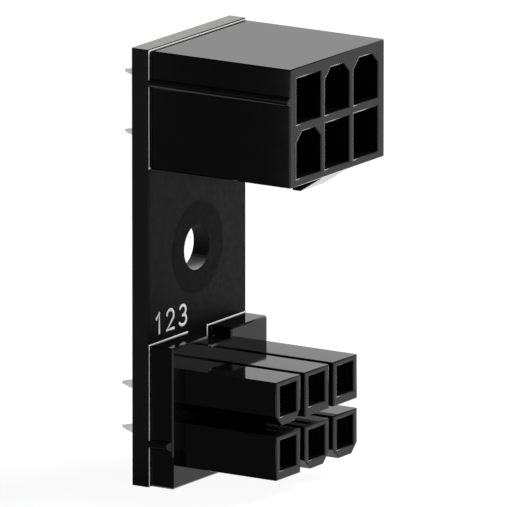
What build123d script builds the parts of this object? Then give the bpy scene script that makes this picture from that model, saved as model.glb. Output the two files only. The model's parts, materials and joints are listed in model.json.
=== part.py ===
from build123d import *
import os

os.makedirs("parts", exist_ok=True)

# Six-way U-turn power adapter: an upright board that carries a shrouded header above and a
# plug of hollow prongs below, both facing -Y.
# X runs across the ways, Z is up. The origin is the middle of the plug's ways, on the face of
# the plug's base that the socket's rim seats against.

# Ways of both connectors, numbered row by row from the upper left
column_count = 3
row_count = 2
way_pitch = 4.2
row_pitch = 4.4
plug_keyed_ways = (1, 5, 6)
header_keyed_ways = (2, 3, 4)
side_wall = 0.93

# Plug
base_depth = 2.14
base_top_wall = 1.82
base_bottom_wall = 1.71
notch_width = 3.35
notch_depth = 0.85
prong_width = 3.54
prong_height = 3.62
prong_length = 9.16
key_cut = 0.83
entry_side_wall = 0.54
entry_top_wall = 0.42
entry_bottom_wall = 0.75
entry_depth = 1.9
bore_undercut = 0.05

# Header
connector_spacing = 24.89
header_depth = 13.2
header_top_wall = 0.88
header_bottom_wall = 0.64
header_back_wall = 3.0
way_clearance = 0.04
ramp_width = 3.4
ramp_setback = 0.15
ramp_run = 2.25
ramp_drop = 1.45
ramp_land = 0.74

# Guide rib on the left side of both housings
rib_height = 0.36
rib_root = 0.8
rib_crest = 0.45
header_rib_rise = 0.12
plug_rib_lead = 0.28

# Broken edges of the mouldings, and the flared lips of their openings
edge_break = 0.12
mouth_lip = 0.12

# Circuit board
board_thickness = 1.5
board_top_margin = 0.16
board_right_margin = 0.06
mounting_hole_radius = 1.85
mounting_hole_drop = 7.63

# Pins and contacts
pin_side = 1.07
pin_reach = 6.6
pin_point = 0.3
tail_point_length = 1.0
tail_shoulder_side = 0.62
tail_tip_side = 0.18
header_tail_length = 2.6
header_upper_tail_lean = 0.35
header_lower_tail_lean = -0.14
plug_tail_length = 2.92
plug_upper_tail_lean = -0.62
plug_lower_tail_lean = 0.16
sheet = 0.25
contact_clearance = 0.1
seam_gap = 0.12
spring_width = 1.1
spring_gap = 0.9
spring_thickness = 0.2
spring_inset = 0.5

# Solder
drill_clearance = 0.14
solder_pad_radius = 1.3
solder_knee_radius = 0.98
solder_knee_height = 0.32
solder_height = 1.05
solder_skin = 0.1

# Places that follow from the sizes
seat = Plane.XZ
board_front = Plane.XZ.offset(-base_depth)
board_back = Plane.XZ.offset(-base_depth - board_thickness)
board_back_y = base_depth + board_thickness
header_front = Plane.XZ.offset(header_depth - base_depth)
prong_front = Plane.XZ.offset(prong_length)
way_width = prong_width + 2 * way_clearance
way_height = prong_height + 2 * way_clearance
key_cut_at_lip = key_cut + (2 - 2 ** 0.5) * mouth_lip
entry_width = prong_width - 2 * entry_side_wall
entry_height = prong_height - entry_top_wall - entry_bottom_wall
bore_width = entry_width + 2 * bore_undercut
bore_height = entry_height + 2 * bore_undercut
contact_rise = (entry_bottom_wall - entry_top_wall) / 2
row_rise = (row_count - 1) / 2 * row_pitch
housing_width = (column_count - 1) * way_pitch + way_width + 2 * side_wall
base_top = row_rise + prong_height / 2 + base_top_wall
base_bottom = -row_rise - prong_height / 2 - base_bottom_wall
header_top = connector_spacing + row_rise + way_height / 2 + header_top_wall
header_bottom = connector_spacing - row_rise - way_height / 2 - header_bottom_wall
header_front_y = base_depth - header_depth
board_left = -housing_width / 2 - rib_height
board_right = housing_width / 2 + board_right_margin
board_x = (board_left + board_right) / 2
board_top = header_top + board_top_margin
board_z = (base_bottom + board_top) / 2
mounting_hole_z = header_bottom - mounting_hole_drop
header_rib_z = connector_spacing + row_rise + header_rib_rise
plug_rib_z = -row_rise
drill_radius = pin_side / 2 ** 0.5 + drill_clearance


def way_places(centre_z):
    """Number, x and z of each way of a connector whose middle is at centre_z."""
    places = []
    for row in range(row_count):
        for column in range(column_count):
            number = row * column_count + column + 1
            x = (column - (column_count - 1) / 2) * way_pitch
            z = centre_z + row_rise - row * row_pitch
            places.append((number, x, z))
    return places


header_ways = way_places(connector_spacing)
plug_ways = way_places(0)

# The contacts stand off the middle of the prongs, away from the keyed corners. A mating plug
# comes into the header turned over, so the header's pins stand off the other way.
header_pin_places = way_places(connector_spacing - contact_rise)
plug_contact_places = way_places(contact_rise)


def rib_corners(z):
    """Corners of the guide rib's section, on the left side of a housing at height z."""
    side = -housing_width / 2
    crest = side - rib_height
    inside = side + edge_break
    return [
        (inside, z - rib_root / 2),
        (side, z - rib_root / 2),
        (crest, z - rib_crest / 2),
        (crest, z + rib_crest / 2),
        (side, z + rib_root / 2),
        (inside, z + rib_root / 2),
    ]


# Circuit board
with BuildPart() as circuit_board:
    with BuildSketch(board_front):
        with Locations((board_x, board_z)):
            Rectangle(board_right - board_left, board_top - base_bottom)
        with Locations((board_x, mounting_hole_z)):
            Circle(mounting_hole_radius, mode=Mode.SUBTRACT)
        with Locations([(x, z) for number, x, z in header_pin_places + plug_contact_places]):
            Circle(drill_radius, mode=Mode.SUBTRACT)
    extrude(amount=-board_thickness)
circuit_board.part.label = "circuit_board"
export_step(circuit_board.part, "parts/circuit_board.step")

# Header housing: a block with six ways, a guide rib and a latch ramp
with BuildPart() as header_housing:
    with BuildSketch(board_front) as header_outline:
        with Locations((0, (header_top + header_bottom) / 2)):
            Rectangle(housing_width, header_top - header_bottom)
        chamfer(header_outline.vertices(), edge_break)
    extrude(amount=header_depth)
    chamfer(header_housing.faces().sort_by(Axis.Y)[0].edges(), edge_break)

    with BuildSketch(board_front):
        Polygon(*rib_corners(header_rib_z), align=None)
    extrude(amount=header_depth)

    for number, x, z in header_ways:
        with BuildSketch(board_front.offset(header_back_wall)) as way:
            with Locations((x, z)):
                Rectangle(way_width, way_height)
            if number in header_keyed_ways:
                chamfer(way.vertices().group_by(Axis.Y)[-1], key_cut)
        extrude(amount=header_depth - header_back_wall, mode=Mode.SUBTRACT)
        with BuildSketch(header_front.offset(-mouth_lip)) as throat:
            with Locations((x, z)):
                Rectangle(way_width, way_height)
            if number in header_keyed_ways:
                chamfer(throat.vertices().group_by(Axis.Y)[-1], key_cut)
        with BuildSketch(header_front) as mouth:
            with Locations((x, z)):
                Rectangle(way_width + 2 * mouth_lip, way_height + 2 * mouth_lip)
            if number in header_keyed_ways:
                chamfer(mouth.vertices().group_by(Axis.Y)[-1], key_cut_at_lip)
        loft(ruled=True, mode=Mode.SUBTRACT)

    with BuildSketch(board_front):
        with Locations([(x, z) for number, x, z in header_pin_places]):
            Rectangle(pin_side, pin_side)
    extrude(amount=header_back_wall, mode=Mode.SUBTRACT)

    with BuildSketch(Plane.YZ):
        with BuildLine():
            Polyline(
                (header_front_y + ramp_setback, header_bottom),
                (header_front_y + ramp_setback + ramp_run, header_bottom - ramp_drop),
                (header_front_y + ramp_setback + ramp_run + ramp_land, header_bottom - ramp_drop),
                (header_front_y + ramp_setback + ramp_run + ramp_land, header_bottom),
                close=True,
            )
        make_face()
    extrude(amount=ramp_width / 2, both=True)
header_housing.part.label = "header_housing"
export_step(header_housing.part, "parts/header_housing.step")

# Plug housing: a notched base with a guide rib and six hollow prongs
with BuildPart() as plug_housing:
    with BuildSketch(board_front) as base_outline:
        with Locations((0, (base_top + base_bottom) / 2)):
            Rectangle(housing_width, base_top - base_bottom)
        with Locations((0, base_top)):
            Rectangle(notch_width, 2 * notch_depth, mode=Mode.SUBTRACT)
        chamfer(base_outline.vertices(), edge_break)
    extrude(amount=base_depth)
    chamfer(plug_housing.faces().sort_by(Axis.Y)[0].edges(), edge_break)

    for number, x, z in plug_ways:
        with BuildSketch(seat) as prong:
            with Locations((x, z)):
                Rectangle(prong_width, prong_height)
            if number in plug_keyed_ways:
                chamfer(prong.vertices().group_by(Axis.Y)[0], key_cut)
        extrude(amount=prong_length)
    chamfer(plug_housing.faces().filter_by(Axis.Y).group_by(Axis.Y)[0].edges(), edge_break)

    with BuildSketch(board_front):
        Polygon(*rib_corners(plug_rib_z), align=None)
    extrude(amount=base_depth - edge_break)
    rib_ends = plug_housing.edges().filter_by(Axis.Z).group_by(Axis.X)[0]
    chamfer(rib_ends.sort_by(Axis.Y)[0], plug_rib_lead)

    with BuildSketch(board_front):
        with Locations([(x, z) for number, x, z in plug_contact_places]):
            Rectangle(bore_width, bore_height)
    extrude(amount=base_depth + prong_length - entry_depth, mode=Mode.SUBTRACT)
    with BuildSketch(prong_front.offset(-entry_depth)):
        with Locations([(x, z) for number, x, z in plug_contact_places]):
            Rectangle(entry_width, entry_height)
    extrude(amount=entry_depth, mode=Mode.SUBTRACT)
    for number, x, z in plug_contact_places:
        with BuildSketch(prong_front.offset(-mouth_lip)):
            with Locations((x, z)):
                Rectangle(entry_width, entry_height)
        with BuildSketch(prong_front):
            with Locations((x, z)):
                Rectangle(entry_width + 2 * mouth_lip, entry_height + 2 * mouth_lip)
        loft(ruled=True, mode=Mode.SUBTRACT)
plug_housing.part.label = "plug_housing"
export_step(plug_housing.part, "parts/plug_housing.step")

# Header pins: square bars with a point in the way. Each runs straight through its solder
# joint, leans to its shoulder and ends in a long point.
straight_end = board_back.offset(-solder_height)
header_pins = []
for number, x, z in header_pin_places:
    lean = header_upper_tail_lean if z > connector_spacing else header_lower_tail_lean
    with BuildPart() as header_pin:
        with BuildSketch(straight_end):
            with Locations((x, z)):
                Rectangle(pin_side, pin_side)
        extrude(amount=solder_height + board_thickness + header_back_wall + pin_reach)
        chamfer(header_pin.faces().sort_by(Axis.Y)[0].edges(), pin_point)
        with BuildSketch(straight_end):
            with Locations((x, z)):
                Rectangle(pin_side, pin_side)
        with BuildSketch(board_back.offset(tail_point_length - header_tail_length)):
            with Locations((x, z + lean)):
                Rectangle(tail_shoulder_side, tail_shoulder_side)
        with BuildSketch(board_back.offset(-header_tail_length)):
            with Locations((x, z + lean)):
                Rectangle(tail_tip_side, tail_tip_side)
        loft(ruled=True)
    header_pin.part.label = f"header_pin_{number}"
    export_step(header_pin.part, f"parts/header_pin_{number}.step")
    header_pins.append(header_pin)

# Plug contacts: folded boxes with a seam on top, two bowed springs and a tail like a pin's
box_width = bore_width - 2 * contact_clearance
box_height = bore_height - 2 * contact_clearance
box_length = base_depth + prong_length - entry_depth - contact_clearance
spring_front_y = base_depth - box_length + spring_inset
spring_back_y = base_depth - sheet - spring_inset
spring_middle_y = (spring_front_y + spring_back_y) / 2
plug_contacts = []
for number, x, z in plug_contact_places:
    lean = plug_upper_tail_lean if z > 0 else plug_lower_tail_lean
    with BuildPart() as plug_contact:
        with BuildSketch(board_front):
            with Locations((x, z)):
                Rectangle(box_width, box_height)
        extrude(amount=box_length)
        with BuildSketch(board_front.offset(sheet)):
            with Locations((x, z)):
                Rectangle(box_width - 2 * sheet, box_height - 2 * sheet)
            with Locations((x, z + box_height / 2)):
                Rectangle(seam_gap, 4 * sheet, mode=Mode.ADD)
        extrude(amount=box_length - sheet, mode=Mode.SUBTRACT)

        for side in (-1, 1):
            root = z + side * (box_height / 2 - sheet / 2)
            crest = z + side * spring_gap / 2
            bow = side * spring_thickness
            with BuildSketch(Plane.YZ.offset(x)):
                with BuildLine():
                    ThreePointArc((spring_front_y, root), (spring_middle_y, crest), (spring_back_y, root))
                    Line((spring_back_y, root), (spring_back_y - spring_thickness, root))
                    ThreePointArc(
                        (spring_back_y - spring_thickness, root),
                        (spring_middle_y, crest + bow),
                        (spring_front_y + spring_thickness, root),
                    )
                    Line((spring_front_y + spring_thickness, root), (spring_front_y, root))
                make_face()
            extrude(amount=spring_width / 2, both=True)

        with BuildSketch(board_front):
            with Locations((x, z)):
                Rectangle(pin_side, pin_side)
        extrude(amount=-(board_thickness + solder_height))
        with BuildSketch(straight_end):
            with Locations((x, z)):
                Rectangle(pin_side, pin_side)
        with BuildSketch(board_back.offset(tail_point_length - plug_tail_length)):
            with Locations((x, z + lean)):
                Rectangle(tail_shoulder_side, tail_shoulder_side)
        with BuildSketch(board_back.offset(-plug_tail_length)):
            with Locations((x, z + lean)):
                Rectangle(tail_tip_side, tail_tip_side)
        loft(ruled=True)
    plug_contact.part.label = f"plug_contact_{number}"
    export_step(plug_contact.part, f"parts/plug_contact_{number}.step")
    plug_contacts.append(plug_contact)

# Solder joints: each fills its drilled hole round the tail and rises up it in a hollow cone
neck_radius = pin_side / 2 ** 0.5 + solder_skin


def solder_joint(x, z, tail):
    """One joint round the tail at x and z."""
    with BuildPart() as joint:
        with BuildSketch(Plane((x, 0, z))):
            with BuildLine():
                Polyline(
                    (0, base_depth),
                    (drill_radius, base_depth),
                    (drill_radius, board_back_y),
                    (solder_pad_radius, board_back_y),
                    (solder_knee_radius, board_back_y + solder_knee_height),
                    (neck_radius, board_back_y + solder_height),
                    (0, board_back_y + solder_height),
                    close=True,
                )
            make_face()
        revolve(axis=Axis((x, 0, z), (0, 1, 0)))
        add(tail, mode=Mode.SUBTRACT)
    return joint


for (number, x, z), header_pin in zip(header_pin_places, header_pins):
    header_solder = solder_joint(x, z, header_pin.part)
    header_solder.part.label = f"header_solder_{number}"
    export_step(header_solder.part, f"parts/header_solder_{number}.step")

for (number, x, z), plug_contact in zip(plug_contact_places, plug_contacts):
    plug_solder = solder_joint(x, z, plug_contact.part)
    plug_solder.part.label = f"plug_solder_{number}"
    export_step(plug_solder.part, f"parts/plug_solder_{number}.step")
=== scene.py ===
import json
import math

import bmesh
import bpy
from bpy.props import FloatProperty, FloatVectorProperty, IntProperty, PointerProperty
from bpy.types import Operator, Panel, PropertyGroup
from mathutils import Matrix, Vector


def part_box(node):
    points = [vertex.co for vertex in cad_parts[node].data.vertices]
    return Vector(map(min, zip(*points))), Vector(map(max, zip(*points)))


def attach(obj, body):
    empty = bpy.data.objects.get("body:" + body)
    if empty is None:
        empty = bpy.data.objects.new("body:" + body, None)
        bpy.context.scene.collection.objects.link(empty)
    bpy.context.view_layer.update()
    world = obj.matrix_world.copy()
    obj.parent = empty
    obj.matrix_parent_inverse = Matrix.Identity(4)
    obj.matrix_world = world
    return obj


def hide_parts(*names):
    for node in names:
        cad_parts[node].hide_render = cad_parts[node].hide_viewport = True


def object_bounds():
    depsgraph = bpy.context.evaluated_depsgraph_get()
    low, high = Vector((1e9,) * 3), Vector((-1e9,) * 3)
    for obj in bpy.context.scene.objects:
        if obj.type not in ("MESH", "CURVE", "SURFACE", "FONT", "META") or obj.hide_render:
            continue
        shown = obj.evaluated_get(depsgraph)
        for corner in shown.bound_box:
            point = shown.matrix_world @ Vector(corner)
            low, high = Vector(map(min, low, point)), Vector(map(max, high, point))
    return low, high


bl_info = {
    "name": "Six-way power adapter",
    "version": (1, 0, 0),
    "blender": (4, 5, 0),
    "location": "3D View > Sidebar > Adapter",
    "description": "Finishes, solder, print and studio for a six-way power adapter",
    "category": "Object",
}

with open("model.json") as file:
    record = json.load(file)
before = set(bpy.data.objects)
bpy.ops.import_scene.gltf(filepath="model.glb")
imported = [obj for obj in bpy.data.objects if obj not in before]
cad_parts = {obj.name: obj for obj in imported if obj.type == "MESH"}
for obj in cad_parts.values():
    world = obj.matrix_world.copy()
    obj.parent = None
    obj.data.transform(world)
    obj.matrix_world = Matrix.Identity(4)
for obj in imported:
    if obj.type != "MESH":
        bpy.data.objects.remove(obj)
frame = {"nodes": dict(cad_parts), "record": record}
cad_low, cad_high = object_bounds()

MM = 0.001
WAYS = range(1, 7)
SOLDER_NODES = [f"{side}_solder_{n}" for side in ("header", "plug") for n in WAYS]
CONTACT_NODES = [f"header_pin_{n}" for n in WAYS] + [f"plug_contact_{n}" for n in WAYS]

board_low, board_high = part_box("circuit_board")
header_low, header_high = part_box("header_housing")
plug_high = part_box("plug_housing")[1]
joint_low, joint_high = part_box(SOLDER_NODES[0])


def foot_of(node):
    """Middle of a solder joint's foot, on the board's back face."""
    low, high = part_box(node)
    return ((low.x + high.x) / 2, board_high.y, (low.z + high.z) / 2)


JOINT_POINTS = [foot_of(node) for node in SOLDER_NODES]
SOLDER_RADIUS = (joint_high.x - joint_low.x) / 2
SOLDER_HEIGHT = joint_high.y - board_high.y

# The mounting hole isn't a node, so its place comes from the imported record.
hole_mount = next(m for m in frame["record"]["mounts"] if m["name"] == "board_hole")
HOLE_CENTRE = Vector(hole_mount["pos_m"])


# Settings that a user would change

class HousingSettings(PropertyGroup):
    colour: FloatVectorProperty(
        name="Colour", description="Colour of the moulded nylon", subtype="COLOR", size=3,
        default=(0.0035, 0.0035, 0.0036), min=0, max=1)
    gloss_roughness: FloatProperty(
        name="Roughness", description="Roughness of the polished mould's surface",
        default=0.045, min=0, max=1)
    edge_rounding: FloatProperty(
        name="Front edges", description="Radius of the outer edges round the front faces",
        default=0.10 * MM, min=0, unit="LENGTH", precision=6)
    lip_rounding: FloatProperty(
        name="Lips", description="Radius of the lips of the openings",
        default=0.11 * MM, min=0, unit="LENGTH", precision=6)
    rib_rounding: FloatProperty(
        name="Guide rib", description="Width of the rounding on the guide rib's crest",
        default=0.16 * MM, min=0, unit="LENGTH", precision=6)
    side_rounding: FloatProperty(
        name="Side edges", description="Width of the rounding on the edges that run back",
        default=0.05 * MM, min=0, unit="LENGTH", precision=6)


class BoardSettings(PropertyGroup):
    mask_colour: FloatVectorProperty(
        name="Mask", description="Colour of the solder mask over copper", subtype="COLOR", size=3,
        default=(0.0024, 0.0024, 0.0025), min=0, max=1)
    # The two edge colours are painted light and shade on one laminate. Cut edges and hole wall that
    # face up get the light colour, and those that face sideways or down get the dark one.
    lit_edge_colour: FloatVectorProperty(
        name="Painted lit edges", description="Colour of the bare laminate at the top and bottom",
        subtype="COLOR", size=3, default=(0.37, 0.37, 0.365), min=0, max=1)
    shaded_edge_colour: FloatVectorProperty(
        name="Painted shaded edges", description="Colour of the darkened laminate at the sides",
        subtype="COLOR", size=3, default=(0.009, 0.009, 0.0092), min=0, max=1)
    copper_margin: FloatProperty(
        name="Copper margin", description="Gap between the copper and the board's edge",
        default=0.3 * MM, min=0, unit="LENGTH", precision=6)
    hole_clearance: FloatProperty(
        name="Hole clearance", description="Radius kept free of copper round the hole",
        default=3.78 * MM, min=0, unit="LENGTH", precision=6)


class MetalSettings(PropertyGroup):
    tin_colour: FloatVectorProperty(
        name="Tin", description="Colour of the tin plating", subtype="COLOR", size=3,
        default=(0.52, 0.515, 0.50), min=0, max=1)
    solder_colour: FloatVectorProperty(
        name="Solder", description="Colour of the solder", subtype="COLOR", size=3,
        default=(0.60, 0.60, 0.59), min=0, max=1)
    solder_seed: IntProperty(
        name="Seed", description="Seed of the small differences between joints", default=7, min=0)
    pad_width: FloatProperty(
        name="Pad rim", description="Width of the bare pad outside the solder",
        default=0.14 * MM, min=0, unit="LENGTH", precision=6)


class PrintSettings(PropertyGroup):
    ink_colour: FloatVectorProperty(
        name="Ink", description="Colour of the white print", subtype="COLOR", size=3,
        default=(0.62, 0.62, 0.61), min=0, max=1)
    line_width: FloatProperty(
        name="Line", description="Width of the printed outlines",
        default=0.16 * MM, min=0, unit="LENGTH", precision=6)
    number_width: FloatProperty(
        name="Number line", description="Width of the numbers' lines",
        default=0.25 * MM, min=0, unit="LENGTH", precision=6)
    ink_height: FloatProperty(
        name="Ink height", description="Height of the ink above the board",
        default=0.025 * MM, min=0, unit="LENGTH", precision=6)
    number_height: FloatProperty(
        name="Numbers", description="Height of the printed pin numbers",
        default=1.6 * MM, min=0, unit="LENGTH", precision=6)


class StageSettings(PropertyGroup):
    floor_bounce: FloatProperty(
        name="Floor bounce", description="Share of the light that the floor gives back",
        default=0.12, min=0, max=1)
    floor_glow: FloatProperty(
        name="Floor glow", description="Level of the floor where it lies in shadow",
        default=0.93, min=0)
    key_level: FloatProperty(
        name="Key light", description="Level of the soft box on a surface that faces it",
        default=1.4, min=0)
    front_level: FloatProperty(
        name="Front light", description="Level of the soft box in front", default=0.55, min=0)
    card_level: FloatProperty(
        name="Card", description="Extra level of the bright card that edges on the right mirror",
        default=5.0, min=0)
    fill_level: FloatProperty(
        name="Fill light", description="Level of the soft light from all round",
        default=0.10, min=0)
    azimuth: FloatProperty(
        name="Azimuth", description="Camera's angle round the adapter",
        default=math.radians(-57.25), unit="ROTATION")
    elevation: FloatProperty(
        name="Elevation", description="Camera's angle above the horizon",
        default=math.radians(12.99), unit="ROTATION")
    lens: FloatProperty(
        name="Lens", description="Focal length in millimetres", default=1350, min=1)
    view_width: FloatProperty(
        name="View width", description="Width of the picture at the adapter",
        default=40.64 * MM, min=0, unit="LENGTH", precision=6)


# Node helpers

def put(tree, kind, inputs=None, **settings):
    """Adds a node, sets its options and fills or links its inputs by name or number."""
    node = tree.nodes.new(kind)
    for name, value in settings.items():
        setattr(node, name, value)
    for key, value in (inputs or {}).items():
        fill(tree, node.inputs[key], value)
    return node


def fill(tree, socket, value):
    """Links another node's output to a socket, or sets its value."""
    if isinstance(value, bpy.types.NodeSocket):
        tree.links.new(value, socket)
    else:
        socket.default_value = value


def feed(tree, kind, inputs=None, **settings):
    """First output of a new node."""
    return put(tree, kind, inputs, **settings).outputs[0]


def maths(tree, operation, *values):
    """Output of one Math node."""
    return feed(tree, "ShaderNodeMath", dict(enumerate(values)), operation=operation)


def weighted_sum(tree, *parts):
    """Sum of values, each given with its weight."""
    terms = [maths(tree, "MULTIPLY", value, weight) for value, weight in parts]
    total = terms[0]
    for term in terms[1:]:
        total = maths(tree, "ADD", total, term)
    return total


def step_between(tree, value, low, high):
    """0 below low, 1 above high and a soft step between them."""
    return feed(tree, "ShaderNodeMapRange", {"Value": value, "From Min": low, "From Max": high},
                interpolation_type="SMOOTHSTEP")


def blend(tree, share, first, second):
    """Number between first and second."""
    return feed(tree, "ShaderNodeMix", {0: share, 2: first, 3: second})


def blend_colours(tree, share, first, second):
    """Colour between first and second."""
    node = put(tree, "ShaderNodeMix", {0: share}, data_type="RGBA")
    fill(tree, node.inputs[6], first)
    fill(tree, node.inputs[7], second)
    return node.outputs[2]


def scaled(colour, share):
    return (colour[0] * share, colour[1] * share, colour[2] * share, 1.0)


def clouded(tree, share, colour, darkest, lightest):
    """Colour that wanders between a darker and a lighter share of itself."""
    return blend_colours(tree, share, scaled(colour, darkest), scaled(colour, lightest))


def grey(value):
    return (value, value, value, 1.0)


def noise(tree, place, bumps_per_mm, detail, stretch=(1, 1, 1)):
    """Noise from 0 to 1."""
    moved = feed(tree, "ShaderNodeMapping", {"Vector": place, "Scale": stretch})
    return feed(tree, "ShaderNodeTexNoise", {
        "Vector": moved, "Scale": bumps_per_mm, "Detail": detail})


# Nearly all noise lies between these two.
NOISE_LOW, NOISE_HIGH = 0.25, 0.75


def level(tree, value, low, high):
    """Spreads noise over low..high."""
    return feed(tree, "ShaderNodeMapRange", {
        "Value": value, "From Min": NOISE_LOW, "From Max": NOISE_HIGH,
        "To Min": low, "To Max": high})


def bumped(tree, height, strength, depth, **more):
    """Normal of a surface with a fine relief."""
    return feed(tree, "ShaderNodeBump", {
        "Strength": strength, "Distance": depth, "Height": height, **more})


def start_material(name):
    """New material, its tree, its output and the place of each point in millimetres."""
    material = bpy.data.materials.new(name)
    material.use_nodes = True
    tree = material.node_tree
    tree.nodes.clear()
    output = tree.nodes.new("ShaderNodeOutputMaterial")
    place = put(tree, "ShaderNodeTexCoord").outputs["Object"]
    place_mm = feed(tree, "ShaderNodeVectorMath", {0: place, 1: (1 / MM, 1 / MM, 1 / MM)},
                    operation="MULTIPLY")
    return material, tree, output, place_mm


def end_material(material, tree, output, inputs):
    """Closes a material with one Principled shader."""
    shader = feed(tree, "ShaderNodeBsdfPrincipled", inputs)
    tree.links.new(shader, output.inputs[0])
    return material


# Finishes

def moulded_nylon(settings):
    """Black nylon from a polished mould: near mirror gloss, soft edges and faint flow."""
    material, tree, output, place = start_material("moulded_nylon")
    cloud = noise(tree, place, bumps_per_mm=0.35, detail=3.0)
    grain = noise(tree, place, bumps_per_mm=9.0, detail=2.0)
    flow = noise(tree, place, bumps_per_mm=0.8, detail=2.0, stretch=(1.0, 0.12, 1.0))
    colour = clouded(tree, cloud, settings.colour, darkest=0.8, lightest=1.25)
    gloss = settings.gloss_roughness
    rough = maths(tree, "ADD", level(tree, cloud, low=gloss * 0.7, high=gloss * 1.3),
                  level(tree, grain, low=0.0, high=0.02))
    height = weighted_sum(tree, (flow, 0.7), (grain, 0.05))
    normal = bumped(tree, height, strength=0.25, depth=0.004 * MM)
    return end_material(material, tree, output, {
        "Base Color": colour, "Roughness": rough, "IOR": 1.38, "Normal": normal})


# Layers of the board, in millimetres
PLY = 0.19
WEAVE_RATE = 11.0
COPPER_SOFT_EDGE = 0.04
HOLE_SOFT_EDGE = 0.05


def inside_gap(tree, value, low, high):
    """Distance in millimetres from a value to the nearer end of low..high, given in metres."""
    middle, half = (low + high) / 2 / MM, (high - low) / 2 / MM
    off_middle = maths(tree, "ABSOLUTE", maths(tree, "SUBTRACT", value, middle))
    return maths(tree, "SUBTRACT", half, off_middle)


def masked_board(settings):
    """Black solder mask on both faces, with the copper's edge showing, and bare edges with painted
    light and shade.
    """
    material, tree, output, place = start_material("masked_board")
    x, y, z = put(tree, "ShaderNodeSeparateXYZ", {0: place}).outputs
    true_normal = put(tree, "ShaderNodeNewGeometry").outputs["True Normal"]
    _, backward, upward = put(tree, "ShaderNodeSeparateXYZ", {0: true_normal}).outputs
    on_face = step_between(tree, maths(tree, "ABSOLUTE", backward), low=0.6, high=0.9)
    # Painted light: how far the surface faces up picks the light edge colour over the dark one,
    # also on the hole's wall.
    painted_light_share = step_between(tree, upward, low=0.5, high=0.95)

    across = maths(tree, "SUBTRACT", x, HOLE_CENTRE.x / MM)
    along = maths(tree, "SUBTRACT", z, HOLE_CENTRE.z / MM)
    flat = feed(tree, "ShaderNodeCombineXYZ", {0: across, 1: along})
    from_hole = put(tree, "ShaderNodeVectorMath", {0: flat}, operation="LENGTH").outputs["Value"]
    edge_gap = maths(tree, "MINIMUM", inside_gap(tree, x, board_low.x, board_high.x),
                     inside_gap(tree, z, board_low.z, board_high.z))
    margin, clear = settings.copper_margin / MM, settings.hole_clearance / MM
    copper = maths(
        tree, "MULTIPLY",
        step_between(tree, edge_gap, margin - COPPER_SOFT_EDGE, margin + COPPER_SOFT_EDGE),
        step_between(tree, from_hole, clear - HOLE_SOFT_EDGE, clear + HOLE_SOFT_EDGE))

    cloud = noise(tree, place, bumps_per_mm=0.3, detail=3.0)
    peel = noise(tree, place, bumps_per_mm=2.2, detail=2.0)
    grain = noise(tree, place, bumps_per_mm=14.0, detail=2.0)
    weave = maths(tree, "MULTIPLY",
                  maths(tree, "SINE", maths(tree, "MULTIPLY", x, WEAVE_RATE)),
                  maths(tree, "SINE", maths(tree, "MULTIPLY", z, WEAVE_RATE)))
    mask = clouded(tree, copper, settings.mask_colour, darkest=0.72, lightest=1.0)
    mask = blend_colours(tree, maths(tree, "MULTIPLY", cloud, 0.3), mask,
                         scaled(settings.mask_colour, 1.2))

    plies = maths(tree, "SINE", maths(tree, "MULTIPLY", y, 2 * math.pi / PLY))
    fibres = noise(tree, place, bumps_per_mm=3.0, detail=3.0, stretch=(1.0, 6.0, 1.0))
    streaks = maths(tree, "ADD", maths(tree, "MULTIPLY", plies, 0.25), fibres)
    ply_share = maths(tree, "MULTIPLY", streaks, 0.8)
    # Lit and shaded copies of the same laminate, painted by which way the edge faces.
    ends = clouded(tree, ply_share, settings.lit_edge_colour, darkest=0.6, lightest=1.5)
    sides = clouded(tree, ply_share, settings.shaded_edge_colour, darkest=0.6, lightest=1.5)
    colour = blend_colours(tree, on_face, blend_colours(tree, painted_light_share, sides, ends), mask)

    rough = blend(tree, on_face, level(tree, fibres, low=0.45, high=0.65),
                  level(tree, peel, low=0.46, high=0.60))
    face_relief = weighted_sum(tree, (copper, 0.35), (weave, 0.05), (peel, 0.15), (grain, 0.03))
    edge_relief = weighted_sum(tree, (fibres, 0.25), (plies, 0.02))
    normal = bumped(tree, blend(tree, on_face, edge_relief, face_relief),
                    strength=0.5, depth=0.03 * MM)

    face_gloss = feed(tree, "ShaderNodeMapRange", {
        "Value": copper, "To Min": 0.010, "To Max": 0.017})
    edge_shader, face_shader = (
        feed(tree, "ShaderNodeBsdfPrincipled", {
            "Base Color": colour, "Roughness": rough, "IOR": 1.5, "Specular IOR Level": gloss,
            "Normal": normal})
        for gloss in (0.12, face_gloss))
    mixed = feed(tree, "ShaderNodeMixShader", {0: on_face, 1: edge_shader, 2: face_shader})
    tree.links.new(mixed, output.inputs[0])
    return material


def tin_plate(settings):
    """Satin tin plating with fine drawing lines along the strip."""
    material, tree, output, place = start_material("tin_plate")
    cloud = noise(tree, place, bumps_per_mm=0.9, detail=3.0)
    drawn = noise(tree, place, bumps_per_mm=5.0, detail=3.0, stretch=(3.0, 0.15, 3.0))
    colour = clouded(tree, cloud, settings.tin_colour, darkest=0.86, lightest=1.08)
    rough = level(tree, drawn, low=0.20, high=0.36)
    edge = feed(tree, "ShaderNodeBevel", {"Radius": 0.05 * MM}, samples=4)
    normal = bumped(tree, drawn, strength=0.35, depth=0.006 * MM, Normal=edge)
    return end_material(material, tree, output, {
        "Base Color": colour, "Metallic": 1.0, "Roughness": rough, "Normal": normal})


def soldered_tin(settings):
    """Solder: bright and smooth, slightly cloudy where it froze last."""
    material, tree, output, place = start_material("soldered_tin")
    cloud = noise(tree, place, bumps_per_mm=1.4, detail=4.0)
    frost = noise(tree, place, bumps_per_mm=12.0, detail=3.0)
    colour = clouded(tree, cloud, settings.solder_colour, darkest=0.82, lightest=1.12)
    rough = maths(tree, "ADD", level(tree, cloud, low=0.14, high=0.30),
                  level(tree, frost, low=0.0, high=0.05))
    normal = bumped(tree, cloud, strength=0.3, depth=0.012 * MM)
    return end_material(material, tree, output, {
        "Base Color": colour, "Metallic": 1.0, "Roughness": rough, "Normal": normal})


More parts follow.
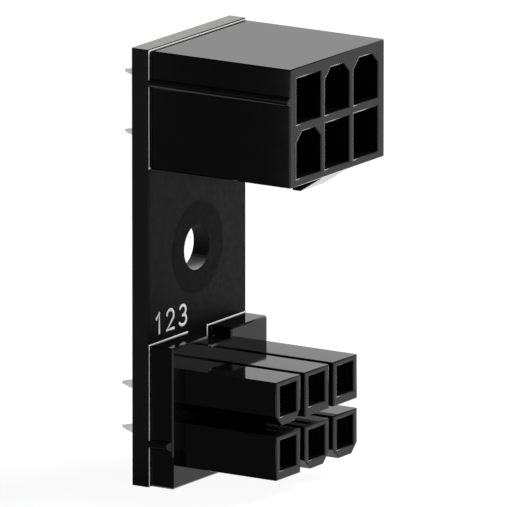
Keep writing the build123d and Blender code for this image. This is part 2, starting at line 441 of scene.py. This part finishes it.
def printed_ink(settings):
    """White epoxy ink, a little thin and uneven as a screen leaves it."""
    material, tree, output, place = start_material("printed_ink")
    cloud = noise(tree, place, bumps_per_mm=2.5, detail=3.0)
    grain = noise(tree, place, bumps_per_mm=18.0, detail=2.0)
    colour = clouded(tree, cloud, settings.ink_colour, darkest=0.86, lightest=1.08)
    rough = level(tree, grain, low=0.5, high=0.7)
    normal = bumped(tree, grain, strength=0.4, depth=0.008 * MM)
    return end_material(material, tree, output, {
        "Base Color": colour, "Roughness": rough, "Specular IOR Level": 0.3, "Normal": normal})


# Rounding of the housings

# Corners closer than this are one corner.
WELD = 0.0005 * MM
CUT_WELD = 0.0002 * MM
# The cut takes the solid's own broken edges and lips off, which are 0.12 mm deep.
PAST_BROKEN_EDGES = 0.125 * MM
# An edge that runs back does so over nearly all its length, and is longer than this.
STRAIGHT_SHARE = 0.99
LONG_EDGE = 1.0 * MM
# How near the housing's left side, its front and the board an edge counts as there
RIB_REACH = 0.05 * MM
FRONT_REACH = 1.0 * MM
BASE_REACH = 0.02 * MM
FLAT_ANGLE = math.radians(1)
RIB_ANGLE = math.radians(55)
CORNER_ANGLE = math.radians(60)
SMOOTH_ANGLE = math.radians(40)
RIM_STEPS = 5
# Large faces decide the shading where they meet the small faces of a rounding.
LARGE_FACE_WEIGHT = 100
# Share of the side rounding that each housing gets. The header's long edges are sharper.
SIDE_SHARES = {"header_housing": 0.3, "plug_housing": 1.0}


def place_of(corner):
    """A corner's place in whole thousandths of a millimetre."""
    return [round(value * 1000 / MM) for value in corner.co]


def edge_loops(edges):
    """Closed loops of corners that the edges form, in an order that only their places give."""
    left = set(edges)
    loops = []
    while left:
        edge = left.pop()
        first, corner = edge.verts
        loop = [first]
        while corner is not first:
            loop.append(corner)
            edge = next(e for e in corner.link_edges if e in left)
            left.discard(edge)
            corner = edge.other_vert(corner)
        start = loop.index(min(loop, key=place_of))
        loop = loop[start:] + loop[:start]
        if place_of(loop[-1]) < place_of(loop[1]):
            loop[1:] = reversed(loop[1:])
        loops.append(loop)
    return sorted(loops, key=lambda loop: place_of(loop[0]))


def inward_moves(loop):
    """For each corner of an open wall's rim, the move into the wall that keeps all sides even."""
    moves = []
    for i, corner in enumerate(loop):
        before, after = loop[i - 1], loop[(i + 1) % len(loop)]
        first, second = (
            next(e for e in corner.link_edges if e.other_vert(corner) is other).link_faces[0].normal
            for other in (before, after))
        moves.append(-(first + second) / (1 + first.dot(second)))
    return moves


def roll_over(work, loop, front_y, radius):
    """Rolls a wall's rim over to the front plane and returns the last ring of edges."""
    moves = inward_moves(loop)
    base = [corner.co.copy() for corner in loop]
    ring = loop
    for step in range(RIM_STEPS + 1):
        angle = math.pi / 2 * step / RIM_STEPS
        inset, depth = radius * (1 - math.cos(angle)), radius * (1 - math.sin(angle))
        new_ring = [
            work.verts.new((co.x + move.x * inset, front_y + depth, co.z + move.z * inset))
            for co, move in zip(base, moves)]
        for i in range(len(ring)):
            j = (i + 1) % len(ring)
            work.faces.new((ring[i], ring[j], new_ring[j], new_ring[i]))
        ring = new_ring
    return [work.edges.get((ring[i - 1], ring[i])) for i in range(len(ring))]


def middle_of(loop):
    return sum((corner.co for corner in loop), Vector()) / len(loop)


def round_front(work, front_y, outer_radius, lip_radius):
    """Cuts the front faces off and closes the walls again with rolled rims."""
    cut = max(outer_radius, lip_radius, PAST_BROKEN_EDGES)
    bmesh.ops.bisect_plane(
        work, geom=work.verts[:] + work.edges[:] + work.faces[:], dist=CUT_WELD,
        plane_co=(0, front_y + cut, 0), plane_no=(0, -1, 0), clear_outer=True)
    work.normal_update()
    outer, openings = [], []
    for loop in edge_loops([edge for edge in work.edges if edge.is_boundary]):
        outwards = (loop[0].co - middle_of(loop)).dot(-inward_moves(loop)[0]) > 0
        (outer if outwards else openings).append(loop)
    for rim in outer:
        spans = [(k, min(c.co[k] for c in rim), max(c.co[k] for c in rim)) for k in (0, 2)]
        inside = [loop for loop in openings
                  if all(low < middle_of(loop)[k] < high for k, low, high in spans)]
        edges = roll_over(work, rim, front_y, outer_radius)
        for loop in inside:
            edges += roll_over(work, loop, front_y, lip_radius)
        bmesh.ops.triangle_fill(work, use_beauty=True, edges=edges, normal=(0, -1, 0))
    bmesh.ops.remove_doubles(work, verts=work.verts, dist=WELD)
    bmesh.ops.recalc_face_normals(work, faces=work.faces)


def runs_back(edge):
    """Whether a long edge runs from front to back."""
    first, second = edge.verts
    return abs(first.co.y - second.co.y) > STRAIGHT_SHARE * edge.calc_length() > LONG_EDGE


def soften(work, sharpest, width, segments, chosen):
    """Rounds the chosen ones of the outward edges that turn by more than an angle."""
    edges = [edge for edge in work.edges
             if edge.is_manifold and edge.is_convex and edge.calc_face_angle() > sharpest
             and chosen(edge)]
    bmesh.ops.bevel(work, geom=edges, offset=width, segments=segments, profile=0.5,
                    affect="EDGES", clamp_overlap=True)


def rounded_copy(node, settings, material, side_share):
    """Copy of a housing with clean faces, rounded edges and one finish."""
    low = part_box(node)[0]
    work = bmesh.new()
    work.from_mesh(frame["nodes"][node].data)
    bmesh.ops.remove_doubles(work, verts=work.verts, dist=WELD)
    bmesh.ops.dissolve_limit(work, angle_limit=FLAT_ANGLE, verts=work.verts, edges=work.edges)
    soften(work, RIB_ANGLE, settings.rib_rounding, 5, lambda edge: (
        runs_back(edge) and max(corner.co.x for corner in edge.verts) < low.x + RIB_REACH))
    soften(work, CORNER_ANGLE, settings.side_rounding * side_share, 2, lambda edge: (
        runs_back(edge) and min(corner.co.y for corner in edge.verts) < low.y + FRONT_REACH))
    soften(work, CORNER_ANGLE, settings.side_rounding * 2, 3, lambda edge: (
        all(abs(corner.co.y) < BASE_REACH for corner in edge.verts)))
    round_front(work, low.y, settings.edge_rounding, settings.lip_rounding)
    for edge in work.edges:
        edge.smooth = edge.is_manifold and edge.calc_face_angle() < SMOOTH_ANGLE
    for face in work.faces:
        face.smooth = True
    mesh = bpy.data.meshes.new(node + "_moulding")
    work.to_mesh(mesh)
    work.free()
    mesh.materials.append(material)
    piece = bpy.data.objects.new(node + "_moulding", mesh)
    bpy.context.scene.collection.objects.link(piece)
    even = piece.modifiers.new("Even shading", "WEIGHTED_NORMAL")
    even.keep_sharp = True
    even.weight = LARGE_FACE_WEIGHT
    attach(piece, "root")
    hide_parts(node)


def finish_nodes(names, material):
    """Gives CAD nodes a finish."""
    for name in names:
        node = frame["nodes"][name]
        if not node.material_slots:
            node.data.materials.append(material)
        for slot in node.material_slots:
            slot.material = material


# Geometry Nodes helpers

# Points closer than this are one point.
POINT_WELD = 0.001 * MM


def start_tree(name, inputs):
    """New geometry tree with named inputs, given as name: (socket type, default)."""
    tree = bpy.data.node_groups.new(name, "GeometryNodeTree")
    tree.interface.new_socket("Geometry", in_out="INPUT", socket_type="NodeSocketGeometry")
    for label, (kind, default) in inputs.items():
        socket = tree.interface.new_socket(label, in_out="INPUT", socket_type=kind)
        socket.default_value = default
    tree.interface.new_socket("Geometry", in_out="OUTPUT", socket_type="NodeSocketGeometry")
    return tree, tree.nodes.new("NodeGroupInput"), tree.nodes.new("NodeGroupOutput")


def close_tree(tree, leave, geometry, material):
    """Ends a tree in smooth shading, Realize Instances and Set Material."""
    real = feed(tree, "GeometryNodeRealizeInstances", {"Geometry": geometry})
    smooth = feed(tree, "GeometryNodeSetShadeSmooth", {"Geometry": real})
    painted = feed(tree, "GeometryNodeSetMaterial", {"Geometry": smooth, "Material": material})
    tree.links.new(painted, leave.inputs[0])


def join(tree, *shapes):
    """Several shapes as one."""
    node = tree.nodes.new("GeometryNodeJoinGeometry")
    for shape in shapes:
        tree.links.new(shape, node.inputs[0])
    return node.outputs[0]


def make_piece(name, start, tree, values):
    """Runs a tree on a starting mesh and leaves the result as a plain piece on the body."""
    carrier = bpy.data.objects.new(name + "_start", start)
    bpy.context.scene.collection.objects.link(carrier)
    modifier = carrier.modifiers.new("Shape", "NODES")
    modifier.node_group = tree
    sockets = {item.name: item.identifier for item in tree.interface.items_tree
               if item.in_out == "INPUT"}
    for label, value in values.items():
        modifier[sockets[label]] = value
    shaped = carrier.evaluated_get(bpy.context.evaluated_depsgraph_get())
    mesh = bpy.data.meshes.new_from_object(shaped)
    mesh.name = name
    piece = bpy.data.objects.new(name, mesh)
    bpy.context.scene.collection.objects.link(piece)
    carrier.modifiers.remove(modifier)
    bpy.data.objects.remove(carrier)
    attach(piece, "root")
    return piece


def mesh_of_strokes(name, strokes):
    """Mesh of open lines, one for each stroke. A stroke of one point is a point."""
    points, edges = [], []
    for stroke in strokes:
        start = len(points)
        points += stroke
        edges += [(start + i, start + i + 1) for i in range(len(stroke) - 1)]
    mesh = bpy.data.meshes.new(name)
    mesh.from_pydata(points, edges, [])
    return mesh


# Where a joint's slope bends and ends, as shares of its height
BEND_SHARE = 0.18
NECK_SHARE = 0.94
# The lathe's path is a tiny ring, so that the profile turns about the joint's axis.
LATHE_RADIUS = 0.0001 * MM


def solder_tree(material):
    """Solder joints: a hollow-sided cone turned on a lathe at each point, its tip towards +Y."""
    tree, enter, leave = start_tree("solder_joints", {
        "Pad Radius": ("NodeSocketFloat", 1.3 * MM),
        "Neck Radius": ("NodeSocketFloat", 0.56 * MM),
        "Height": ("NodeSocketFloat", 1.05 * MM),
        "Hollow": ("NodeSocketFloat", 0.26 * MM),
        "Uneven": ("NodeSocketFloat", 0.16),
        "Seed": ("NodeSocketInt", 7),
    })
    _, pad, neck, height, hollow, uneven, seed, _ = enter.outputs
    between = maths(tree, "MULTIPLY", maths(tree, "ADD", pad, neck), 0.5)
    foot = feed(tree, "ShaderNodeCombineXYZ", {0: pad})
    bend = feed(tree, "ShaderNodeCombineXYZ", {
        0: maths(tree, "SUBTRACT", between, hollow),
        1: maths(tree, "MULTIPLY", height, BEND_SHARE)})
    neck_point = feed(tree, "ShaderNodeCombineXYZ", {
        0: neck, 1: maths(tree, "MULTIPLY", height, NECK_SHARE)})
    top = feed(tree, "ShaderNodeCombineXYZ", {1: height})
    bottom = feed(tree, "GeometryNodeCurvePrimitiveLine", {"Start": (0.0, 0.0, 0.0), "End": foot})
    slope = feed(tree, "GeometryNodeCurveQuadraticBezier", {
        "Resolution": 14, "Start": foot, "Middle": bend, "End": neck_point})
    cap = feed(tree, "GeometryNodeCurvePrimitiveLine", {"Start": neck_point, "End": top})
    lines = join(tree, *(feed(tree, "GeometryNodeCurveToMesh", {"Curve": part})
                         for part in (bottom, slope, cap)))
    joined = feed(tree, "GeometryNodeMergeByDistance", {"Geometry": lines, "Distance": POINT_WELD})
    profile = feed(tree, "GeometryNodeMeshToCurve", {"Mesh": joined})
    ring = feed(tree, "GeometryNodeCurvePrimitiveCircle", {
        "Resolution": 40, "Radius": LATHE_RADIUS})
    turned = feed(tree, "GeometryNodeCurveToMesh", {"Curve": ring, "Profile Curve": profile})
    closed = feed(tree, "GeometryNodeMergeByDistance", {"Geometry": turned, "Distance": POINT_WELD})
    outwards = feed(tree, "GeometryNodeFlipFaces", {"Mesh": closed})
    spread_height = put(tree, "FunctionNodeRandomValue", {
        2: maths(tree, "SUBTRACT", 1.0, uneven), 3: 1.0, "Seed": seed}, data_type="FLOAT")
    scale = feed(tree, "ShaderNodeCombineXYZ", {0: 1.0, 1: 1.0, 2: spread_height.outputs[1]})
    spread = feed(tree, "GeometryNodeInstanceOnPoints", {
        "Points": enter.outputs[0], "Instance": outwards, "Scale": scale,
        "Rotation": (math.pi / 2, 0.0, 0.0)})
    close_tree(tree, leave, spread, material)
    return tree


def ring_tree(material):
    """Flat rings facing +Y at each point."""
    tree, enter, leave = start_tree("pad_rings", {
        "Inner Radius": ("NodeSocketFloat", 1.2 * MM),
        "Outer Radius": ("NodeSocketFloat", 1.44 * MM),
        "Thickness": ("NodeSocketFloat", 0.04 * MM),
    })
    points, inner, outer, thick, _ = enter.outputs
    middle = maths(tree, "MULTIPLY", maths(tree, "ADD", inner, outer), 0.5)
    path = feed(tree, "GeometryNodeCurvePrimitiveCircle", {"Resolution": 48, "Radius": middle})
    section = feed(tree, "GeometryNodeCurvePrimitiveQuadrilateral", {
        "Width": maths(tree, "SUBTRACT", outer, inner), "Height": thick})
    swept = feed(tree, "GeometryNodeCurveToMesh", {"Curve": path, "Profile Curve": section})
    spread = feed(tree, "GeometryNodeInstanceOnPoints", {
        "Points": points, "Instance": swept, "Rotation": (-math.pi / 2, 0.0, 0.0)})
    close_tree(tree, leave, spread, material)
    return tree


def ink_tree(material):
    """Round-ended ink lines that follow the strokes of the starting mesh, pressed flat along Y."""
    tree, enter, leave = start_tree("ink_lines", {
        "Line Width": ("NodeSocketFloat", 0.28 * MM),
        "Ink Height": ("NodeSocketFloat", 0.025 * MM),
        "Board Y": ("NodeSocketFloat", 0.0),
    })
    strokes, width, height, board_y, _ = enter.outputs
    radius = maths(tree, "MULTIPLY", width, 0.5)
    path = feed(tree, "GeometryNodeMeshToCurve", {"Mesh": strokes})
    section = feed(tree, "GeometryNodeCurvePrimitiveCircle", {"Resolution": 12, "Radius": radius})
    line = feed(tree, "GeometryNodeCurveToMesh", {
        "Curve": path, "Profile Curve": section, "Fill Caps": True})
    dot = feed(tree, "GeometryNodeMeshUVSphere", {"Segments": 12, "Rings": 8, "Radius": radius})
    dots = feed(tree, "GeometryNodeInstanceOnPoints", {"Points": strokes, "Instance": dot})
    real = feed(tree, "GeometryNodeRealizeInstances", {"Geometry": join(tree, line, dots)})
    place = feed(tree, "GeometryNodeInputPosition")
    x, y, z = put(tree, "ShaderNodeSeparateXYZ", {0: place}).outputs
    pressed = maths(tree, "MULTIPLY", maths(tree, "SUBTRACT", y, board_y),
                    maths(tree, "DIVIDE", height, radius))
    flat = feed(tree, "ShaderNodeCombineXYZ", {
        0: x, 1: maths(tree, "ADD", pressed, board_y), 2: z})
    moved = feed(tree, "GeometryNodeSetPosition", {"Geometry": real, "Position": flat})
    close_tree(tree, leave, moved, material)
    return tree


# Strokes of the print

# The outlines' distances from the board's sides and the housings' edges
LEFT_INSET, RIGHT_INSET = 0.17 * MM, 0.14 * MM
HEADER_LINE_RISE = 1.54 * MM
PLUG_LINE_RISE = 0.02 * MM
NOTCH_LEFT, NOTCH_RIGHT, NOTCH_DEPTH = 5.75 * MM, 8.68 * MM, 0.86 * MM
# The numbers stand above the plug's outline, each this far from the board's left side.
NUMBER_RISE = 0.76 * MM
NUMBER_STARTS = {1: 1.1 * MM, 2: 2.75 * MM, 3: 4.6 * MM}
ARC_STEPS = 14


def arc(centre_x, centre_z, radius_x, radius_z, start, end):
    """Points on an ellipse's arc, angles in degrees from +X towards +Z."""
    angles = [math.radians(start + (end - start) * i / ARC_STEPS) for i in range(ARC_STEPS + 1)]
    return [(centre_x + radius_x * math.cos(angle), centre_z + radius_z * math.sin(angle))
            for angle in angles]


def number_strokes(number):
    """Strokes of a numeral in a box one high and 0.62 wide."""
    if number == 1:
        return [[(0.08, 0.76), (0.34, 1.0), (0.34, 0.0)]]
    if number == 2:
        return [arc(0.31, 0.70, 0.31, 0.30, 165, -35) + [(0.0, 0.0), (0.64, 0.0)]]
    return [arc(0.29, 0.745, 0.28, 0.255, 150, -90) + arc(0.29, 0.26, 0.33, 0.26, 90, -150)[1:]]


def outline_strokes():
    """Outlines of both connectors on the board's front face."""
    left, right = board_low.x + LEFT_INSET, board_high.x - RIGHT_INSET
    top, bottom = header_high.z, header_low.z + HEADER_LINE_RISE
    header = [(left, top), (left, bottom), (right, bottom), (right, top), (left, top)]
    line_z = plug_high.z + PLUG_LINE_RISE
    notch_left, notch_right = board_low.x + NOTCH_LEFT, board_low.x + NOTCH_RIGHT
    plug_left = [(notch_left, line_z), (left, line_z), (left, board_low.z)]
    plug_right = [(notch_right, line_z - NOTCH_DEPTH), (notch_right, line_z), (right, line_z),
                  (right, board_low.z)]
    return on_board([header, plug_left, plug_right])


def pin_number_strokes(settings):
    """Numbers of the plug's upper pins, above its outline."""
    strokes = []
    high = settings.number_height
    base = plug_high.z + NUMBER_RISE
    for number, offset in NUMBER_STARTS.items():
        start = board_low.x + offset
        for stroke in number_strokes(number):
            strokes.append([(start + x * high, base + z * high) for x, z in stroke])
    return on_board(strokes)


def on_board(strokes):
    """Strokes given as x and z, laid on the board's front face."""
    return [[(x, board_low.y, z) for x, z in stroke] for stroke in strokes]


# Operators, one for each piece or group of like pieces

class ADAPTER_OT_finish_housings(Operator):
    """Give the header and plug housings their moulded nylon finish"""
    bl_idname = "adapter.finish_housings"
    bl_label = "Finish housings"

    def execute(self, context):
        settings = context.scene.adapter_housing
        material = moulded_nylon(settings)
        finish_nodes(SIDE_SHARES, material)
        for node, side_share in SIDE_SHARES.items():
            rounded_copy(node, settings, material, side_share)
        return {"FINISHED"}


class ADAPTER_OT_finish_board(Operator):
    """Give the circuit board its solder mask and laminate edge"""
    bl_idname = "adapter.finish_board"
    bl_label = "Finish board"

    def execute(self, context):
        finish_nodes(["circuit_board"], masked_board(context.scene.adapter_board))
        return {"FINISHED"}


class ADAPTER_OT_finish_contacts(Operator):
    """Give the header pins and the plug contacts their tin plating"""
    bl_idname = "adapter.finish_contacts"
    bl_label = "Finish contacts"

    def execute(self, context):
        finish_nodes(CONTACT_NODES, tin_plate(context.scene.adapter_metal))
        return {"FINISHED"}


class ADAPTER_OT_add_solder(Operator):
    """Make the solder joints round the tails at the back"""
    bl_idname = "adapter.add_solder"
    bl_label = "Add solder joints"

    def execute(self, context):
        settings = context.scene.adapter_metal
        tree = solder_tree(soldered_tin(settings))
        start = mesh_of_strokes("joint_points", [[point] for point in JOINT_POINTS])
        joints = make_piece("solder_joints", start, tree, {
            "Pad Radius": SOLDER_RADIUS,
            "Height": SOLDER_HEIGHT,
            "Seed": settings.solder_seed,
        })
        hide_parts(*SOLDER_NODES)
        return {"FINISHED"}


# How far a pad's ring reaches in under the solder
PAD_UNDER_SOLDER = 0.15 * MM


class ADAPTER_OT_add_pads(Operator):
    """Make the bare rims of the pads round the solder joints"""
    bl_idname = "adapter.add_pads"
    bl_label = "Add pads"

    def execute(self, context):
        settings = context.scene.adapter_metal
        material = tin_plate(settings)
        material.name = "pad_tin"
        start = mesh_of_strokes("pad_points", [[point] for point in JOINT_POINTS])
        make_piece("pad_rings", start, ring_tree(material), {
            "Inner Radius": SOLDER_RADIUS - PAD_UNDER_SOLDER,
            "Outer Radius": SOLDER_RADIUS + settings.pad_width,
        })
        return {"FINISHED"}


class ADAPTER_OT_add_print(Operator):
    """Print the connectors' outlines and the pin numbers on the board's front"""
    bl_idname = "adapter.add_print"
    bl_label = "Add print"

    def execute(self, context):
        settings = context.scene.adapter_print
        tree = ink_tree(printed_ink(settings))
        for name, strokes, width in (
                ("board_outlines", outline_strokes(), settings.line_width),
                ("pin_numbers", pin_number_strokes(settings), settings.number_width)):
            make_piece(name, mesh_of_strokes(name + "_strokes", strokes), tree, {
                "Line Width": width,
                "Ink Height": settings.ink_height,
                "Board Y": board_low.y,
            })
        return {"FINISHED"}


# Stage: what mirrors see is laid out in millimetres on the floor, seen from above.

FLOOR_REACH = 4.0
# Level of the lit floor to the eye, and what the lamps and the fill light give a white floor
FLOOR_SEEN = 1.03
FLOOR_LIGHT = 0.94

# The dark side lies at the back left, this far round from the left.
DARK_BEARING = math.radians(33)
DARK_SIDE = Vector((-math.cos(DARK_BEARING), math.sin(DARK_BEARING), 0))
ACROSS_DARK_SIDE = Vector((math.sin(DARK_BEARING), math.cos(DARK_BEARING), 0))
# The dark strip starts left of the adapter. Its middle line lies this far towards the front.
STRIP_START = (7.0, 7.6)
STRIP_MIDDLE = 7.0
STRIP_EDGE = (7.0, 8.0)
STRIP_DARKNESS = 0.9

# The bright card lies between two bearings from a point at the plug, clear of the adapter.
CARD_CENTRE_Y = -9.0
CARD_START = (math.radians(-28), math.radians(-22))
CARD_END = (math.radians(8), math.radians(18))
CARD_SLANT = 0.65
CARD_NEAR_EDGE = (14.0, 17.0)
CARD_RIGHT_EDGE = (58.0, 66.0)

# Brightness of the world by height, and how it fades towards the dark side
BAND_STOPS = ((0.33, 0.93), (0.46, 0.25), (0.62, 0.22), (0.74, 0.08))
SIDE_FADE = (0.62, 0.8)
SIDE_LEAST = 0.12

KEY_DIRECTION = Vector((0.62, -0.45, 0.64)).normalized()
FRONT_DIRECTION = Vector((-0.22, -0.95, 0.12)).normalized()
SOFT_BOX_SIZE = 0.25
SOFT_BOX_DISTANCE = 0.5

SENSOR_WIDTH = 36.0
CLIP_START, CLIP_END = 0.05, 20.0
# The camera looks at this point, from the board's top left front corner.
TARGET_RIGHT, TARGET_DOWN = 15.51 * MM, 19.58 * MM


def camera_direction(settings):
    """From the adapter to the camera."""
    return Vector((
        math.sin(settings.azimuth) * math.cos(settings.elevation),
        -math.cos(settings.azimuth) * math.cos(settings.elevation),
        math.sin(settings.elevation),
    ))


def add_plane(name, corners, material):
    """Flat four-cornered stage piece."""
    mesh = bpy.data.meshes.new(name)
    mesh.from_pydata(corners, [], [(0, 1, 2, 3)])
    mesh.materials.append(material)
    plane = bpy.data.objects.new(name, mesh)
    bpy.context.scene.collection.objects.link(plane)


def light_path(tree):
    """Whether a ray is seen by the eye, also through glass, and whether it is a mirrored one."""
    rays = put(tree, "ShaderNodeLightPath").outputs
    seen = maths(tree, "MAXIMUM", rays["Is Camera Ray"], rays["Is Transmission Ray"])
    return seen, rays["Is Glossy Ray"]


def dark_strip(tree, place):
    """1 in the strip that the adapter's left faces mirror, and 0 outside it."""
    x = feed(tree, "ShaderNodeSeparateXYZ", {0: place})
    beyond = step_between(tree, maths(tree, "MULTIPLY", x, -1.0), *STRIP_START)
    across = put(tree, "ShaderNodeVectorMath", {0: place, 1: ACROSS_DARK_SIDE},
                 operation="DOT_PRODUCT").outputs["Value"]
    off_line = maths(tree, "ABSOLUTE", maths(tree, "ADD", across, STRIP_MIDDLE))
    outside = step_between(tree, off_line, *STRIP_EDGE)
    return maths(tree, "MULTIPLY", beyond, maths(tree, "SUBTRACT", 1.0, outside))


def bright_card(tree, place):
    """1 on the card that edges on the right mirror, and 0 off it."""
    from_plug = feed(tree, "ShaderNodeVectorMath", {0: place, 1: (0, -CARD_CENTRE_Y, 0)},
                     operation="ADD")
    right, back = put(tree, "ShaderNodeSeparateXYZ", {0: from_plug}).outputs[:2]
    bearing = maths(tree, "ARCTAN2", back, right)
    between = maths(tree, "SUBTRACT", step_between(tree, bearing, *CARD_START),
                    step_between(tree, bearing, *CARD_END))
    beside = maths(tree, "ADD", back, maths(tree, "MULTIPLY", right, CARD_SLANT))
    clear = maths(tree, "MAXIMUM", step_between(tree, beside, *CARD_NEAR_EDGE),
                  step_between(tree, right, *CARD_RIGHT_EDGE))
    return maths(tree, "MULTIPLY", between, clear)


def studio_floor(settings):
    """Floor: white with a soft shadow to the eye. Mirrors see a dark strip at the left and a
    bright card at the right."""
    material, tree, output, place = start_material("studio_floor")
    seen, in_mirror = light_path(tree)
    bounce = feed(tree, "ShaderNodeBsdfDiffuse", {"Color": grey(settings.floor_bounce)})
    shaded = feed(tree, "ShaderNodeBsdfDiffuse", {
        "Color": grey((FLOOR_SEEN - settings.floor_glow) / FLOOR_LIGHT)})
    glow = feed(tree, "ShaderNodeEmission", {"Color": grey(1.0), "Strength": settings.floor_glow})
    shown = feed(tree, "ShaderNodeAddShader", {0: shaded, 1: glow})
    darkness = maths(tree, "MULTIPLY", dark_strip(tree, place), STRIP_DARKNESS)
    lit = maths(tree, "ADD", maths(tree, "SUBTRACT", 1.0, darkness),
                maths(tree, "MULTIPLY", bright_card(tree, place), settings.card_level))
    mirrored = feed(tree, "ShaderNodeEmission", {"Color": grey(1.0), "Strength": lit})
    unseen = feed(tree, "ShaderNodeMixShader", {0: in_mirror, 1: bounce, 2: mirrored})
    final = feed(tree, "ShaderNodeMixShader", {0: seen, 1: unseen, 2: shown})
    tree.links.new(final, output.inputs[0])
    material.cycles.emission_sampling = "NONE"
    return material


def studio_world(settings):
    """World: white to the eye. Mirrors see a low bright band that fades overhead and at the
    back left."""
    world = bpy.data.worlds.new("studio_world")
    world.use_nodes = True
    world.cycles.sampling_method = "NONE"
    tree = world.node_tree
    tree.nodes.clear()
    seen, in_mirror = light_path(tree)
    way = put(tree, "ShaderNodeTexCoord").outputs["Generated"]
    height = put(tree, "ShaderNodeSeparateXYZ", {0: way}).outputs[2]
    band = put(tree, "ShaderNodeValToRGB", {0: height})
    stops = band.color_ramp.elements
    while len(stops) < len(BAND_STOPS):
        stops.new(1.0)
    for stop, (position, brightness) in zip(stops, BAND_STOPS):
        stop.position = position
        stop.color = grey(brightness)
    leftward = put(tree, "ShaderNodeVectorMath", {0: way, 1: DARK_SIDE},
                   operation="DOT_PRODUCT").outputs["Value"]
    side = feed(tree, "ShaderNodeMapRange", {
        "Value": leftward, "From Min": SIDE_FADE[0], "From Max": SIDE_FADE[1],
        "To Min": 1.0, "To Max": SIDE_LEAST}, interpolation_type="SMOOTHSTEP")
    mirrored = maths(tree, "MULTIPLY", band.outputs[0], side)
    light = blend(tree, in_mirror, settings.fill_level, mirrored)
    strength = blend(tree, seen, light, 1.0)
    background = feed(tree, "ShaderNodeBackground", {"Color": grey(1.0), "Strength": strength})
    put(tree, "ShaderNodeOutputWorld", {0: background})
    return world


def add_soft_box(name, direction, brightness):
    """Round soft light that gives a level of brightness on a surface that faces it."""
    lamp = bpy.data.lights.new(name, "AREA")
    lamp.shape = "DISK"
    lamp.size = SOFT_BOX_SIZE
    lamp.energy = brightness * (math.pi * SOFT_BOX_DISTANCE) ** 2
    soft_box = bpy.data.objects.new(name, lamp)
    soft_box.location = direction * SOFT_BOX_DISTANCE
    soft_box.rotation_mode = "QUATERNION"
    soft_box.rotation_quaternion = direction.to_track_quat("Z", "Y")
    soft_box.visible_glossy = False
    bpy.context.scene.collection.objects.link(soft_box)


def add_camera(settings):
    """Camera on the photograph's side of the adapter."""
    lens = bpy.data.cameras.new("camera")
    lens.lens = settings.lens
    lens.sensor_width = SENSOR_WIDTH
    lens.clip_start, lens.clip_end = CLIP_START, CLIP_END
    camera = bpy.data.objects.new("camera", lens)
    bpy.context.scene.collection.objects.link(camera)
    toward = camera_direction(settings)
    distance = settings.view_width / 2 / (lens.sensor_width / 2 / lens.lens)
    target = Vector((board_low.x + TARGET_RIGHT, board_low.y, board_high.z - TARGET_DOWN))
    camera.location = target + toward * distance
    camera.rotation_mode = "QUATERNION"
    camera.rotation_quaternion = toward.to_track_quat("Z", "Y")
    bpy.context.scene.camera = camera


class ADAPTER_OT_add_stage(Operator):
    """Build the pale floor, the soft studio light and the camera"""
    bl_idname = "adapter.add_stage"
    bl_label = "Add stage"

    def execute(self, context):
        settings = context.scene.adapter_stage
        context.scene.view_settings.view_transform = "Standard"
        reach, z = FLOOR_REACH, cad_low.z
        corners = [(-reach, -reach, z), (reach, -reach, z), (reach, reach, z), (-reach, reach, z)]
        add_plane("floor", corners, studio_floor(settings))
        context.scene.world = studio_world(settings)
        add_soft_box("soft_box", KEY_DIRECTION, settings.key_level)
        add_soft_box("front_box", FRONT_DIRECTION, settings.front_level)
        add_camera(settings)
        return {"FINISHED"}


class ADAPTER_PT_sidebar(Panel):
    bl_label = "Power adapter"
    bl_idname = "ADAPTER_PT_sidebar"
    bl_space_type = "VIEW_3D"
    bl_region_type = "UI"
    bl_category = "Adapter"

    def draw(self, context):
        groups = [
            ("adapter_housing", ["adapter.finish_housings"]),
            ("adapter_board", ["adapter.finish_board"]),
            ("adapter_metal", ["adapter.finish_contacts", "adapter.add_solder",
                               "adapter.add_pads"]),
            ("adapter_print", ["adapter.add_print"]),
            ("adapter_stage", ["adapter.add_stage"]),
        ]
        for name, operators in groups:
            box = self.layout.box()
            settings = getattr(context.scene, name)
            for field in settings.__annotations__:
                box.prop(settings, field)
            for operator in operators:
                box.operator(operator)


SETTINGS = {
    "adapter_housing": HousingSettings,
    "adapter_board": BoardSettings,
    "adapter_metal": MetalSettings,
    "adapter_print": PrintSettings,
    "adapter_stage": StageSettings,
}
OPERATORS = [
    ADAPTER_OT_finish_housings,
    ADAPTER_OT_finish_board,
    ADAPTER_OT_finish_contacts,
    ADAPTER_OT_add_solder,
    ADAPTER_OT_add_pads,
    ADAPTER_OT_add_print,
    ADAPTER_OT_add_stage,
]


def register():
    for name, group in SETTINGS.items():
        bpy.utils.register_class(group)
        setattr(bpy.types.Scene, name, PointerProperty(type=group))
    for operator in OPERATORS:
        bpy.utils.register_class(operator)
    bpy.utils.register_class(ADAPTER_PT_sidebar)


def unregister():
    bpy.utils.unregister_class(ADAPTER_PT_sidebar)
    for operator in reversed(OPERATORS):
        bpy.utils.unregister_class(operator)
    for name, group in SETTINGS.items():
        delattr(bpy.types.Scene, name)
        bpy.utils.unregister_class(group)


def main():
    register()
    bpy.ops.adapter.add_stage()
    bpy.ops.adapter.finish_housings()
    bpy.ops.adapter.finish_board()
    bpy.ops.adapter.finish_contacts()
    bpy.ops.adapter.add_solder()
    bpy.ops.adapter.add_pads()
    bpy.ops.adapter.add_print()


if __name__ == "__main__":
    main()
